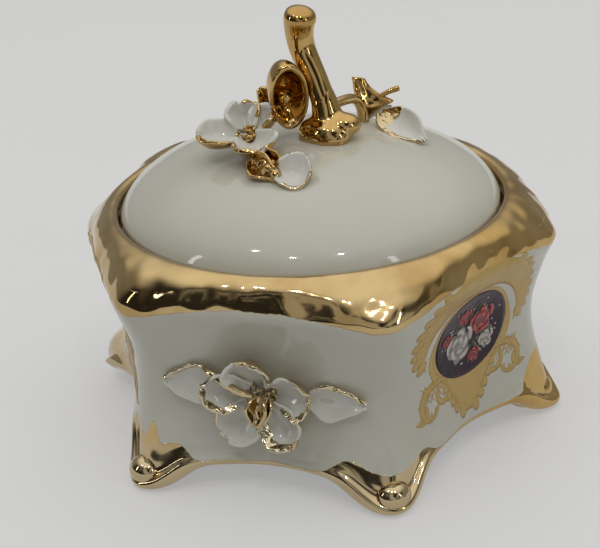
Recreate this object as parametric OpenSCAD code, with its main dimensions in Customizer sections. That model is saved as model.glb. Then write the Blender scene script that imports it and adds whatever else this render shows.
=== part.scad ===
// Six-cornered porcelain trinket box on gilded scroll feet, with a round domed lid that lifts off.
// The origin is the middle of the base on the table, Z is up, and the front flower face looks along -Y.

/* [Box] */
// Radius from the middle to a corner of the gilded edge
rim_corner_r = 75; // [70:1:80]
// Radius from the middle to the gilded edge halfway along a side
rim_face_r = 67.5; // [66:0.5:69]
// Height of the gilded edge above the table
rim_edge_h = 57; // [54:1:60]
// Radius to a corner at the waist
waist_corner_r = 68; // [65:1:70]
// Radius to the middle of a face at the waist
waist_face_r = 60.5; // [59:0.5:62]
// Radius to a corner where it flares out over a foot
flare_corner_r = 76.5; // [74:0.5:78]
// Radius to the middle of a face at the bottom edge
hem_face_r = 62; // [60:0.5:64]
// Height of the arched bottom edge between the feet
hem_h = 7; // [6:0.5:8]
// Thickness of the cast wall
wall = 4.5; // [3.5:0.5:5.5]

/* [Lid] */
// Radius of the lid at its edge
lid_r = 58; // [56:0.5:59]
// Rise of the dome above the lid's edge
dome_rise = 19.5; // [16:0.5:23]
// Fullness of the dome, where 2 is a round bowl
dome_fullness = 2.4; // [2:0.1:3]
// Gap between the lid and its seat, all round
seat_gap = 1.2; // [0.8:0.1:1.6]
// Depth of the locating ring under the lid
ring_depth = 6; // [4:0.5:8]

/* [Handle] */
// Height of the stem's top above the dome
stem_h = 37.5; // [32:0.5:44]
// Radius of the stem halfway up
stem_r = 4; // [3.4:0.1:4.6]

/* [Flowers] */
// Height of the face flowers' centres above the table
flower_h = 32.5; // [28:0.5:34]
// Length of a face petal
petal_len = 13.5; // [12:0.5:15]
// Width of a face petal
petal_w = 12.5; // [10:0.5:14]
// Thickness of petals and leaves
petal_t = 1.3; // [1:0.1:1.8]

/* [Hidden] */
corners = 6;
side_deg = 360 / corners;
half_side = side_deg / 2;
ring_steps = 72;

// Height of the ledge that the lid rests on, and of the collar around it
ledge_h = rim_edge_h + 6.5;
collar_h = rim_edge_h + 12;
collar_r = lid_r + seat_gap;
mouth_r = lid_r - 5;
floor_h = hem_h + wall;

// Lid heights: a hair above its ledge, with its edge level with the collar
lid_bottom = ledge_h + 0.15;
lid_edge_h = collar_h - 2.5;
dome_top = lid_edge_h + dome_rise;
lid_wall = 4;

face_names = ["front", "rear_right", "rear_left"];
face_deg = [-90, 30, 150];
petal_dirs = [14, 103, 163, 232, 307];
petal_tilts = [24, 34, 26, 22, 24];
lid_petal_dirs = [48, 110, 198, 306];
lid_petal_tilts = [26, 30, 10, 6];
lid_petal_lens = [8, 9, 11.4, 11.4];
lid_petal_widths = [8.6, 9.6, 12, 12.4];
face_petal_count = len(petal_dirs);
lid_petal_count = len(lid_petal_dirs);

foot_nodes = [for (i = [1:corners]) str("foot_", i)];
face_nodes = [for (f = face_names, p = concat([for (i = [1:face_petal_count]) str("petal_", i)],
    ["stamens", "leaf_left", "leaf_right"])) str(f, "_", p)];
lid_petal_nodes = [for (i = [1:lid_petal_count]) str("lid_petal_", i)];

porcelain = "ivory";
petal_white = "white";
gilding = "goldenrod";

function unit(v) = v / norm(v);

// 1 on a corner ridge and 0 in the middle of a face; soft widens the ridge
function pull(a, soft) =
    let(t = abs((a + half_side) % side_deg - half_side) / half_side)
    pow((sqrt(1 + soft * soft) - sqrt(t * t + soft * soft)) / (sqrt(1 + soft * soft) - soft), 2);

// One point of a ring given as [corner radius, corner height, face radius, face height, softness]
function ring_point(ring, a) =
    let(k = pull(a, ring[4]), r = ring[2] + (ring[0] - ring[2]) * k, z = ring[3] + (ring[1] - ring[3]) * k)
    [r * cos(a), r * sin(a), z];

// A level ring that is round all the way
function round_ring(r, z) = [r, z, r, z, 1];

// The box from the middle of its underside, up the outside, over the collar and down the inside to its floor
box_rings = [
    [64, hem_h + 0.5, hem_face_r - wall, hem_h + 0.5, 0.3],
    [flare_corner_r - 5, 3, hem_face_r - 1.2, hem_h, 0.12],
    [flare_corner_r - 1, 3.6, hem_face_r, hem_h + 0.8, 0.14],
    [flare_corner_r, 6.5, hem_face_r + 0.2, hem_h + 2.5, 0.2],
    [flare_corner_r - 2.5, 12, hem_face_r - 0.3, 12.5, 0.3],
    [flare_corner_r - 5.7, 19, hem_face_r - 1, 19.5, 0.4],
    [waist_corner_r + 0.6, 26, waist_face_r + 0.2, 26, 0.45],
    [waist_corner_r, 33, waist_face_r, 33, 0.45],
    [waist_corner_r + 1.1, 41, waist_face_r + 0.4, 41, 0.42],
    [waist_corner_r + 3.4, 48, waist_face_r + 1.9, 48, 0.38],
    [rim_corner_r - 1.6, rim_edge_h - 4, rim_face_r - 2.6, rim_edge_h - 3, 0.34],
    [rim_corner_r, rim_edge_h, rim_face_r, rim_edge_h + 1.5, 0.3],
    [rim_corner_r - 0.5, rim_edge_h + 2, rim_face_r + 0.2, rim_edge_h + 3.5, 0.3],
    [rim_corner_r - 2.4, rim_edge_h + 5, rim_face_r - 0.5, rim_edge_h + 6.6, 0.3],
    [rim_corner_r - 6.4, rim_edge_h + 8.4, rim_face_r - 2, rim_edge_h + 9.4, 0.34],
    [collar_r + 5.6, collar_h - 0.8, collar_r + 4.4, collar_h - 0.6, 0.4],
    round_ring(collar_r + 2.4, collar_h),
    round_ring(collar_r + 0.8, collar_h - 0.5),
    round_ring(collar_r, collar_h - 1.6),
    round_ring(collar_r, ledge_h),
    round_ring(mouth_r, ledge_h),
    round_ring(mouth_r, ledge_h - 4.5),
    [rim_corner_r - 9, rim_edge_h - 5, waist_face_r - wall + 2, rim_edge_h - 5, 0.4],
    [waist_corner_r - wall, 41, waist_face_r - wall, 41, 0.45],
    [waist_corner_r - wall - 0.5, 33, waist_face_r - wall, 33, 0.45],
    [waist_corner_r - wall, 22, waist_face_r - wall + 0.5, 22, 0.45],
    [waist_corner_r - wall + 0.5, floor_h + 3, waist_face_r - wall + 0.7, floor_h + 3, 0.4],
    [waist_corner_r - wall - 3, floor_h, waist_face_r - wall - 2.5, floor_h, 0.4]
];

// A closed skin through a list of rings, with a point at each end
module ring_skin(rings, low, high) {
    n = ring_steps;
    m = len(rings);
    pts = concat([for (ring = rings, j = [0:n - 1]) ring_point(ring, 360 * j / n)], [low, high]);
    sides = [for (i = [0:m - 2], j = [0:n - 1])
        let(a = i * n + j, b = i * n + (j + 1) % n)
        each [[a, a + n, b], [b, a + n, b + n]]];
    ends = [for (j = [0:n - 1])
        each [[n * m, j, (j + 1) % n], [n * m + 1, (m - 1) * n + (j + 1) % n, (m - 1) * n + j]]];
    polyhedron(points = pts, faces = concat(sides, ends), convexity = 8);
}

module box_body() {
    color(porcelain) ring_skin(box_rings, [0, 0, hem_h + 0.5], [0, 0, floor_h]);
}

// A scroll foot: a flared pad under the corner and a ball for its toe
pad_at = 70;
pad_r = 8.2;
toe_r = 4.3;
toe_at = 73.4;
toe_h = 4.8;

module foot(i) {
    color(gilding) rotate([0, 0, side_deg * (i - 1)]) {
        translate([pad_at, 0, 0]) rotate_extrude($fn = 48)
            polygon([[0, 0], [pad_r - 1, 0], [pad_r - 0.2, 0.6], [pad_r, 1.8], [pad_r - 0.2, 3.5],
                [pad_r - 0.8, 6], [pad_r - 1.8, 9], [0, 9]]);
        translate([toe_at, 0, toe_h]) sphere(r = toe_r, $fn = 40);
    }
}

// Places a child with its x axis from one point towards another
module aim(from, to, up = [0, 0, 1]) {
    x = unit(to - from);
    y = unit(cross(up, x));
    z = cross(x, y);
    multmatrix([for (i = [0:2]) [x[i], y[i], z[i], from[i]]]) children();
}

// Half of a blade's width along its length: a petal is broad, a leaf comes to a point, a fan spreads
petal_broadest = 0.6;
petal_foot = 0.4;
function petal_half(u, w) = w / 2 * (u < petal_broadest
    ? petal_foot + (1 - petal_foot) * sin(90 * u / petal_broadest)
    : sqrt(1.02 - pow((u - petal_broadest) / (1 - petal_broadest), 2)));
function leaf_half(u, w) = w / 2 * (0.1 + 0.9 * pow(sin(180 * pow(u, 0.85)), 0.9) * (1 - 0.1 * u));
function fan_half(u, w) = w / 2 * (0.16 + 0.84 * u);
function blade_half(form, u, w) =
    form == "leaf" ? leaf_half(u, w) : form == "fan" ? fan_half(u, w) : petal_half(u, w);

// How far the end of a fan is cut back between its two tips
fan_notch = 0.25;

// A thin cupped blade: x along its length, y across, z off the surface it lies on
module blade(length, width, cup, curl, form = "petal", steps = 7) {
    n = steps + 1;
    notch = form == "fan" ? fan_notch : 0;
    function top(i, j) = let(u = i / steps, v = 2 * j / steps - 1, h = blade_half(form, u, width))
        [length * u * (1 - notch * (1 - v * v)), h * v, cup * v * v * 2 * h / width + curl * u * u];
    upper = [for (i = [0:steps], j = [0:steps]) top(i, j)];
    lower = [for (p = upper) p - [0, 0, petal_t]];
    skin = [for (i = [0:steps - 1], j = [0:steps - 1])
        let(a = i * n + j, b = a + n, c = n * n)
        each [[a, a + 1, b], [a + 1, b + 1, b], [c + a, c + b, c + a + 1], [c + a + 1, c + b, c + b + 1]]];
    border = concat([for (j = [0:steps - 1]) j], [for (i = [0:steps - 1]) i * n + steps],
        [for (j = [steps:-1:1]) steps * n + j], [for (i = [steps:-1:1]) i * n]);
    edge = [for (k = [0:len(border) - 1])
        let(a = border[k], b = border[(k + 1) % len(border)], c = n * n)
        each [[a, c + a, b], [b, c + a, c + b]]];
    polyhedron(points = concat(upper, lower), faces = concat(skin, edge), convexity = 4);
}

// A tube along hand-chosen points, with a radius at each point
module tube(path, radii, sides = 14) {
    m = len(path);
    function along(i) = unit(path[min(i + 1, m - 1)] - path[max(i - 1, 0)]);
    function around(i, k) =
        let(t = along(i), x = unit(cross([0, 1, 0.3], t)), y = cross(t, x), a = 360 * k / sides)
        path[i] + radii[i] * (cos(a) * x + sin(a) * y);
    pts = concat([for (i = [0:m - 1], k = [0:sides - 1]) around(i, k)], [path[0], path[m - 1]]);
    walls = [for (i = [0:m - 2], k = [0:sides - 1])
        let(a = i * sides + k, b = i * sides + (k + 1) % sides)
        each [[a, a + sides, b], [b, a + sides, b + sides]]];
    ends = [for (k = [0:sides - 1])
        each [[m * sides, k, (k + 1) % sides],
            [m * sides + 1, (m - 1) * sides + (k + 1) % sides, (m - 1) * sides + k]]];
    polyhedron(points = pts, faces = concat(walls, ends), convexity = 6);
}

// Local frame of a face: x to the right along it, y up it, z out of it
module on_face(f) {
    rotate([0, 0, face_deg[f] + 90]) rotate([90, 0, 0]) translate([0, flower_h, waist_face_r]) children();
}

// Gap left in the middle of a flower, where the stamens stand
petal_start = 3.2;

module face_petal(f, i) {
    color(petal_white) on_face(f) rotate([0, 0, petal_dirs[i - 1]])
        translate([petal_start, 0, 0.9]) rotate([0, -petal_tilts[i - 1], 0])
            blade(petal_len, petal_w, 2.6, -2.5);
}

// A clay pad with a tuft of gilded stamens
stamen_spread = 1.6;
stamen_count = 5;

module stamens(height) {
    color(gilding) {
        translate([0, 0, -0.8]) cylinder(r1 = 4.6, r2 = 3.6, h = 3.2, $fn = 32);
        for (k = [0:stamen_count - 1]) rotate([0, 0, 360 * k / stamen_count]) translate([stamen_spread, 0, 0])
            rotate([0, 10, 0]) {
                cylinder(r = 0.6, h = height, $fn = 16);
                translate([0, 0, height]) sphere(r = 1, $fn = 16);
            }
    }
}

module face_stamens(f) {
    on_face(f) stamens(6);
}

module face_leaf_left(f) {
    color(petal_white) on_face(f) aim([-12, 3, 0.6], [-28, 3, 3.2], [0, 0, 1])
        blade(16.2, 12.5, 1.6, -1, "leaf");
}

module face_leaf_right(f) {
    color(petal_white) on_face(f) aim([12.5, -0.5, 0.6], [29.5, 0.5, 3.2], [0, 0, 1])
        blade(17, 10.5, 1.6, -1, "leaf");
}

// How squarely the dome turns down at its edge, where 1 is not at all
dome_shoulder = 0.6;

// Height of the dome's outside at a distance from its middle
function dome_h(r) = lid_edge_h + dome_rise * pow(1 - pow(min(r / lid_r, 1), dome_fullness), dome_shoulder);
function on_dome(x, y, lift) = [x, y, dome_h(norm([x, y])) + lift];

module lid_dome() {
    ring_out = mouth_r - seat_gap;
    ring_in = ring_out - 3.4;
    steps = 24;
    outside = [for (i = [0:steps]) let(r = lid_r * sin(90 * i / steps)) [r, dome_h(r)]];
    inside = [for (i = [steps:-1:0]) let(r = ring_in * i / steps) [r, dome_h(r) - lid_wall]];
    color(porcelain) rotate_extrude($fn = 144)
        polygon(concat(outside, [[lid_r, lid_bottom + 0.8], [lid_r - 0.8, lid_bottom], [ring_out, lid_bottom],
            [ring_out, lid_bottom - ring_depth], [ring_in, lid_bottom - ring_depth]], inside));
}

// The handle leans from its root on the right of the crown to the back, and its blunt top nods to the front
stem_foot = on_dome(7.2, 1.4, -1.5);
stem_top = [-1, 5.2, dome_top + stem_h];
stem_bends = [
    on_dome(7, 1.5, 5.5),
    [6.2, 2.2, dome_top + stem_h * 0.27],
    [3.9, 4, dome_top + stem_h * 0.4],
    [0.9, 6, dome_top + stem_h * 0.53],
    [-1.6, 7.3, dome_top + stem_h * 0.64],
    [-2.5, 7.4, dome_top + stem_h * 0.76],
    [-2, 6.6, dome_top + stem_h * 0.88]
];

module handle_stem() {
    path = concat([stem_foot], stem_bends, [stem_top - [0, 0, 1.6], stem_top - [0, 0, 0.5], stem_top]);
    radii = stem_r * [1.3, 1.1, 0.94, 0.94, 0.98, 1, 1.03, 1.12, 1.14, 0.9, 0.5];
    color(gilding) tube(path, radii);
}

module handle_base() {
    root = on_dome(6.4, 0.2, 1.6);
    lobe = on_dome(10.4, 2.4, 3.6);
    color(gilding) {
        hull() {
            translate(root) sphere(r = 5, $fn = 24);
            translate(lobe) sphere(r = 3.8, $fn = 24);
        }
        hull() {
            translate(root) sphere(r = 4, $fn = 24);
            translate(on_dome(-2, 1.5, 0.6)) sphere(r = 3, $fn = 24);
        }
    }
}

// The trumpet: an oval bell with its mouth towards the front
trumpet_half_w = 6;
trumpet_half_h = 11;
trumpet_depth = 9;
trumpet_at = [-3.6, -3, dome_top + 13];
trumpet_faces = [0.56, -0.82, -0.06];
trumpet_steps = 28;

module handle_trumpet() {
    bell = [[0.3, -1], [0.62, -0.82], [0.86, -0.45], [1, 0],
        [0.9, 0.04], [0.76, -0.36], [0.5, -0.62], [0.2, -0.72]];
    n = trumpet_steps;
    m = len(bell);
    pts = concat([for (b = bell, k = [0:n - 1]) let(a = 360 * k / n)
        [trumpet_half_w * b[0] * cos(a), trumpet_half_h * b[0] * sin(a), trumpet_depth * b[1]]],
        [[0, 0, -trumpet_depth], [0, 0, -0.74 * trumpet_depth]]);
    walls = [for (i = [0:m - 2], k = [0:n - 1])
        let(a = i * n + k, b = i * n + (k + 1) % n)
        each [[a, a + n, b], [b, a + n, b + n]]];
    ends = [for (k = [0:n - 1])
        each [[n * m, k, (k + 1) % n], [n * m + 1, (m - 1) * n + (k + 1) % n, (m - 1) * n + k]]];
    z = unit(trumpet_faces);
    x = unit(cross([-0.12, 0, 1], z));
    y = cross(z, x);
    color(gilding)
        multmatrix([for (i = [0:2]) [x[i], y[i], z[i], trumpet_at[i]]])
            polyhedron(points = pts, faces = concat(walls, ends), convexity = 6);
}

module handle_lobe() {
    color(gilding) aim([-6, 2.5, dome_top + 4.5], [-13.4, 0, dome_top + 14], [0.2, -1, 0.3])
        blade(12, 7.5, 1.2, -1.2, "leaf");
}

// The open flower on the left of the lid stands on a clay stalk and leans towards the front
lid_flower_at = on_dome(-15, -12.6, 4);
lid_flower_lean = 17;

module on_lid_flower() {
    translate(lid_flower_at) rotate([lid_flower_lean, -4, 0]) children();
}

module lid_petal(i) {
    color(petal_white) on_lid_flower() rotate([0, 0, lid_petal_dirs[i - 1]])
        translate([2.8, 0, 0.4]) rotate([0, -lid_petal_tilts[i - 1], 0])
            blade(lid_petal_lens[i - 1], lid_petal_widths[i - 1], 2.2, -1.6);
}

module lid_stamens() {
    on_lid_flower() stamens(4);
    color(gilding) hull() {
        translate(lid_flower_at + [0, 0, -0.4]) sphere(r = 3, $fn = 20);
        translate(lid_flower_at + [0.6, 1.6, -5.4]) sphere(r = 3.4, $fn = 20);
    }
}

// A gilded calyx lies in front of the flower and holds one rounded petal
module lid_calyx() {
    color(gilding) hull() {
        translate(on_dome(-10, -24.2, 1.2)) sphere(r = 1.6, $fn = 20);
        translate(on_dome(-6, -26.6, 1.8)) sphere(r = 3.2, $fn = 20);
        translate(on_dome(-1.6, -29.8, 1.6)) sphere(r = 3.2, $fn = 20);
    }
}

module lid_leaf_front() {
    color(petal_white) aim(on_dome(-0.4, -30, 3), on_dome(9, -29.6, 2.4), [0.19, -0.68, 0.71])
        blade(9.6, 11.2, 1.6, -0.5);
}

// The gilded twig runs from the stem back to the right, and down to the root of the bud
bud_root = on_dome(13.6, 19.2, 0.4);

module lid_twig() {
    path = [[7, 3.6, dome_top + 8.6], [9.4, 11.5, dome_top + 8], [11.4, 17.6, dome_top + 6.8],
        [12.8, 19.4, dome_top + 3.2], bud_root, bud_root - [0, 0, 1.6]];
    color(gilding) tube(path, [1.6, 1.7, 1.7, 1.6, 1.8, 1.5], 10);
}

module lid_bud() {
    color(gilding) aim(bud_root, bud_root + [3.8, 3, 7.8], [0.27, -0.93, 0.2])
        blade(10.6, 13, 2.2, -1, "fan");
}

module lid_tendril() {
    path = [bud_root + [3.4, 2.8, 6], bud_root + [5.6, 3.5, 7.4], bud_root + [8, 4.2, 8.4],
        bud_root + [10.4, 4.9, 9]];
    color(gilding) tube(path, [0.9, 0.8, 0.9, 1.1], 8);
}

module lid_leaf_small() {
    color(petal_white) aim(bud_root, bud_root + [8, 2.6, 3.4], [0.27, -0.8, 0.5])
        blade(9, 6.6, 1, -0.5, "leaf");
}

module lid_leaf_right() {
    color(petal_white) aim(on_dome(19, 18, 3.4), on_dome(35, 5.4, 1), [0.21, -0.74, 0.64])
        blade(20, 12, 1.4, -0.6, "leaf");
}

box_body();
for (i = [1:corners]) foot(i);
for (f = [0:len(face_names) - 1]) {
    for (i = [1:face_petal_count])
        face_petal(f, i);
    face_stamens(f);
    face_leaf_left(f);
    face_leaf_right(f);
}
lid_dome();
handle_base();
handle_stem();
handle_trumpet();
handle_lobe();
for (i = [1:lid_petal_count]) lid_petal(i);
lid_stamens();
lid_calyx();
lid_leaf_front();
lid_twig();
lid_bud();
lid_tendril();
lid_leaf_small();
lid_leaf_right();
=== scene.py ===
# %% [markdown]
# A porcelain trinket box
#
# This lesson dresses a six-cornered porcelain box: a round domed lid lies loose in its mouth, the edge and
# the feet are gilded, and handmade flowers sit on three faces and on the lid. The construction is already
# fixed in a imported model; the pieces made here, but for the printed medallions, stand for its solids.

# %% Load the fixed frame
import math
import random
from contextlib import contextmanager

import bmesh
import bpy
from mathutils import Matrix, Vector, noise


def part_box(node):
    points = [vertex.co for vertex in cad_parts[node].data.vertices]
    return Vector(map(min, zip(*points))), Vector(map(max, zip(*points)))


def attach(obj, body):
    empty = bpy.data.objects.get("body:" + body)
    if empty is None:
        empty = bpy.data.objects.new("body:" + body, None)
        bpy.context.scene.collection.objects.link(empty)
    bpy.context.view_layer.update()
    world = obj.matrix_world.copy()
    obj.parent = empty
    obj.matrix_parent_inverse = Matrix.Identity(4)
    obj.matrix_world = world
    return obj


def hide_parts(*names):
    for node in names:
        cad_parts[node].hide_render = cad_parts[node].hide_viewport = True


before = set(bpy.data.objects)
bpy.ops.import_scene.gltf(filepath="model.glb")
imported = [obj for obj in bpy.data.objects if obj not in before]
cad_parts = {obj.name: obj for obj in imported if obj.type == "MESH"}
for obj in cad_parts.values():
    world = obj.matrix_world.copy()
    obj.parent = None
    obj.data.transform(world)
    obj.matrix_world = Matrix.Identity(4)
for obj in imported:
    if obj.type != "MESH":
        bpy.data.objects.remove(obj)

# Without a seed, noise vectors start from the clock, and each run gives other shapes.
noise_seed = 3
noise.seed_set(noise_seed)
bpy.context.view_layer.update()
print("nodes in the frame:", len(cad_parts))

# %% [markdown]
# The sizes come first. The frame gives the lid's radius, the heights and the reach of the corners, and the
# few sizes that no box of a node tells are written down. Pieces are modelled in millimetres, because such
# numbers are easy to read, and are brought into the frame's metres when they are finished.

# %% Sizes in millimetres
MM = 0.001
lid_r = round(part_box("lid_dome")[1].x / MM, 1)
dome_top = round(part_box("lid_dome")[1].z / MM, 1)
collar_h = round(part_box("box_body")[1].z / MM, 1)
flare_corner_r = round(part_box("box_body")[1].x / MM, 1)
stem_top_h = round(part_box("handle_stem")[1].z / MM, 1)
rim_edge_h = collar_h - 12
ledge_h = rim_edge_h + 6.5
rim_corner_r = flare_corner_r - 1.5
rim_face_r = rim_corner_r - 7.5
waist_corner_r = rim_corner_r - 7
waist_face_r = rim_face_r - 7
hem_face_r = 61.5
hem_h = 8.2
wall = 4.5
seat_gap = 0.7
collar_r = lid_r + seat_gap
mouth_r = lid_r - 5
floor_h = 11.5
flower_h = 32.5
corners = 6
side_deg = 360 / corners
print("lid radius", lid_r, "dome top", dome_top, "collar", collar_h, "corner", flare_corner_r)

# %% [markdown]
# The camera stands where the photographer stood: a little to the right of the front face and looking down,
# with the picture tipped by a few degrees. Its lens and shift were worked out from the corners of the box.

# %% Camera
def add(operator, name, **settings):
    """Add an object with one of Blender's operators, as the only one that is selected."""
    bpy.ops.object.select_all(action="DESELECT")
    operator(**settings)
    piece = bpy.context.object
    piece.name = name
    return piece


image_w = 600
image_h = 548
sensor_w = 36
camera_azimuth = math.radians(15.803)
camera_elevation = math.radians(27.072)
camera_roll = math.radians(-3.485)
camera_distance = 0.39825
camera_aim = Vector((0, 0, 0.03))
focal_px = 1240.34
axis_px = Vector((316.52, 302.0))

back = Vector((
    math.sin(camera_azimuth) * math.cos(camera_elevation),
    -math.cos(camera_azimuth) * math.cos(camera_elevation),
    math.sin(camera_elevation),
))
level_right = Vector((math.cos(camera_azimuth), math.sin(camera_azimuth), 0))
level_up = back.cross(level_right)
right = level_right * math.cos(camera_roll) + level_up * math.sin(camera_roll)
up = back.cross(right)

camera = add(bpy.ops.object.camera_add, "Camera", location=camera_aim + back * camera_distance)
camera.rotation_euler = Matrix((right, up, back)).transposed().to_euler()
camera.data.sensor_width = sensor_w
camera.data.lens = focal_px * sensor_w / image_w
camera.data.shift_x = (image_w / 2 - axis_px.x) / image_w
camera.data.shift_y = (axis_px.y - image_h / 2) / image_w
camera.data.clip_start = 0.01
bpy.context.scene.camera = camera
bpy.context.scene.view_settings.view_transform = "Standard"
print("camera lens", round(camera.data.lens, 1), "mm")

# %% [markdown]
# Shader maths reads best as plain sums. A wire holds one output of a node, and a sum of wires adds the Math
# nodes that work it out. Every other kind of node comes from the same small method.

# %% A wire between shader nodes
class Wire:
    """One output of a shader node, with sums written as Python sums."""

    def __init__(self, tree, socket=None):
        self.tree = tree
        self.socket = socket

    def node(self, kind, settings, inputs, output=0):
        """Add a node: first its settings, then a link or a value for each input."""
        made = self.tree.nodes.new(kind)
        for name, value in settings.items():
            setattr(made, name, value)
        for name, value in inputs.items():
            plug(made.inputs[name], value)
        return Wire(self.tree, made.outputs[output])

    def math(self, operation, first, second=0.0):
        return self.node("ShaderNodeMath", {"operation": operation}, {0: first, 1: second})

    def __add__(self, other):
        return self.math("ADD", self, other)

    def __sub__(self, other):
        return self.math("SUBTRACT", self, other)

    def __rsub__(self, other):
        return self.math("SUBTRACT", other, self)

    def __mul__(self, other):
        return self.math("MULTIPLY", self, other)

    __radd__ = __add__
    __rmul__ = __mul__

    def either(self, other):
        """The larger of two masks."""
        return self.math("MAXIMUM", self, other)

    def step(self, low, high):
        """0 below low, 1 above high, and a soft step between them."""
        limits = {"Value": self, "From Min": low, "From Max": high}
        return self.node("ShaderNodeMapRange", {"interpolation_type": "SMOOTHSTEP"}, limits)

    def grain(self, per_metre, detail=2.0):
        """Soft noise from 0 to 1, with so many lumps to the metre."""
        return self.node("ShaderNodeTexNoise", {}, {"Vector": self, "Scale": per_metre, "Detail": detail})

    def between(self, first, second):
        """The colour first where this wire is 0, and second where it is 1."""
        return self.node("ShaderNodeMix", {"data_type": "RGBA"}, {0: self, 6: first, 7: second}, 2)

    def beside(self, name):
        """Another output of the same node."""
        return Wire(self.tree, self.socket.node.outputs[name])


def plug(socket, value):
    """Link a wire to a socket, or set a plain value on it."""
    if isinstance(value, Wire):
        value.tree.links.new(value.socket, socket)
    else:
        socket.default_value = value


print("wires ready")

# %% [markdown]
# A finish starts from a new material with Blender's main shader. Its patterns read Object coordinates, and
# finished pieces sit at the origin, so these are the metres of the frame: a pattern runs on from one piece
# to the next.

# %% New finishes
def colour(red, green, blue):
    """A colour in linear light, with its alpha."""
    return (red, green, blue, 1.0)


def new_finish(name):
    """A new material: the material, a wire with its Object coordinates, and its main shader."""
    material = bpy.data.materials.new(name)
    material.use_nodes = True
    tree = material.node_tree
    place = Wire(tree).node("ShaderNodeTexCoord", {}, {}, "Object")
    return material, place, tree.nodes["Principled BSDF"]


def feed(shader, **inputs):
    """Set the main shader's sockets, each with a wire or a plain value."""
    for name, value in inputs.items():
        plug(shader.inputs[name.replace("_", " ")], value)


def bumps(place, height, metres):
    """A normal that follows a height from 0 to 1, so many metres deep."""
    return place.node("ShaderNodeBump", {}, {"Height": height, "Distance": metres, "Strength": 1.0})


print("finishes can be mixed")

# %% [markdown]
# Gold lustre is a very thin film of metal, brushed on by hand over the glaze, so it is as smooth as the
# glaze and slightly streaked. One flat colour would look like plastic. The tone follows the place on the
# box instead: it is deeper and warmer on the right of the rim and on the handle, and low down it is
# painted paler and greyer, a painted reflection of the pale table.

# %% Gold lustre
gold_light = colour(0.60, 0.445, 0.22)
gold_dark = colour(0.47, 0.32, 0.14)
gold_warm = colour(0.60, 0.405, 0.155)
gold_brown = colour(0.46, 0.28, 0.085)
gold_pale = colour(0.70, 0.59, 0.38)
# A grey gold: the tone of the painted reflection of the table low down, and of the petal rims.
gold_grey = colour(0.55, 0.49, 0.36)
# Where the gold turns deeper and warmer: to the right, and above a height.
deep_right = (0.035, 0.065)
deep_above = (0.08, 0.095)
# Heights below which the gold is painted paler and greyer, a painted reflection of the pale table.
hem_reflection_h = 0.016
flowers_reflection_h = 0.06
reflection_fade = 0.006
reflection_share = 0.42
streaks_per_m = 70.0
streak_range = (0.35, 0.7)
gold_rough = 0.07
gold_smear = 0.06
gold_smears_per_m = 150.0
relief_per_m = 120.0
relief_depth = 0.00025


def lustre(place, tones, reflection_h):
    """Brushed gold: deeper on the right and up high, paler low down as a painted reflection of the table.
    """
    across = place.node("ShaderNodeSeparateXYZ", {}, {"Vector": place}, "X")
    height = across.beside("Z")
    # Deeper, warmer tone on the right of the box and up on the handle.
    thick = across.step(*deep_right).either(height.step(*deep_above))
    # Painted reflection: below a height the gold turns paler and greyer, as if it mirrored the pale table.
    table_reflection = (reflection_h - height).step(0.0, reflection_fade) * reflection_share * (1 - thick)
    streaks = place.grain(streaks_per_m, 3.0).step(*streak_range)
    deep = streaks.between(gold_warm, gold_brown)
    return table_reflection.between(thick.between(streaks.between(*tones), deep), gold_grey)


gilding, gilding_place, gilding_shader = new_finish("gold_lustre")
feed(
    gilding_shader,
    Base_Color=lustre(gilding_place, (gold_light, gold_dark), flowers_reflection_h),
    Metallic=1.0,
    Roughness=gilding_place.grain(gold_smears_per_m) * gold_smear + (gold_rough - gold_smear / 2),
    Normal=bumps(gilding_place, gilding_place.grain(relief_per_m, 1.0), relief_depth),
)
print("gold nodes", len(gilding.node_tree.nodes))

# %% [markdown]
# Two clays share one recipe. The body is cream porcelain under a thick clear glaze, and the petals are
# pressed from a whiter clay. Both are gilded in places. Gold as a second material would end along the edges
# of faces, in a jagged line, so one finish mixes clay and gold, and a number that is stored on each vertex
# says where the gold ends. Noise makes that end as uneven as a stroke of a brush.

# %% Glazed and gilded clay
cream = colour(0.60, 0.595, 0.52)
cream_shade = colour(0.565, 0.555, 0.475)
petal_white = colour(0.75, 0.745, 0.69)
petal_shade = colour(0.67, 0.665, 0.605)
brush_per_m = 260.0
hairs_per_m = 900.0
hair_share = 0.3
edge_mm = 0.12
clouds_per_m = 24.0
cloud_range = (0.3, 0.7)
ripples_per_m = 45.0
gold_ripples_per_m = 85.0
ripple_depth = 0.00035
glaze_rough = 0.06
glaze_smear = 0.04
glaze_smears_per_m = 120.0


def painted(name, clay_tones, gold_tones, spread):
    """Glazed clay that is gilded where the piece's own mark, in millimetres, is above nought."""
    material, place, shader = new_finish(name)
    measure = place.node("ShaderNodeAttribute", {"attribute_name": "gild_mm"}, {}, "Fac")
    hairs = (place.grain(hairs_per_m) - 0.5) * (spread * hair_share)
    brush = (place.grain(brush_per_m, 3.0) - 0.5) * spread + hairs
    gilt = (measure + brush).step(-edge_mm, edge_mm)
    clay = place.grain(clouds_per_m).step(*cloud_range).between(*clay_tones)
    # Low on the body the gold takes the painted reflection of the pale table.
    gold = lustre(place, gold_tones, hem_reflection_h)
    ripple = place.grain(ripples_per_m, 1.0) + gilt * place.grain(gold_ripples_per_m, 1.0)
    smears = place.grain(glaze_smears_per_m) * glaze_smear
    feed(
        shader,
        Base_Color=gilt.between(clay, gold),
        Metallic=gilt,
        Roughness=gilt * (gold_rough - glaze_rough) + smears + (glaze_rough - glaze_smear / 2),
        Normal=bumps(place, ripple, ripple_depth),
    )
    return material


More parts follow.
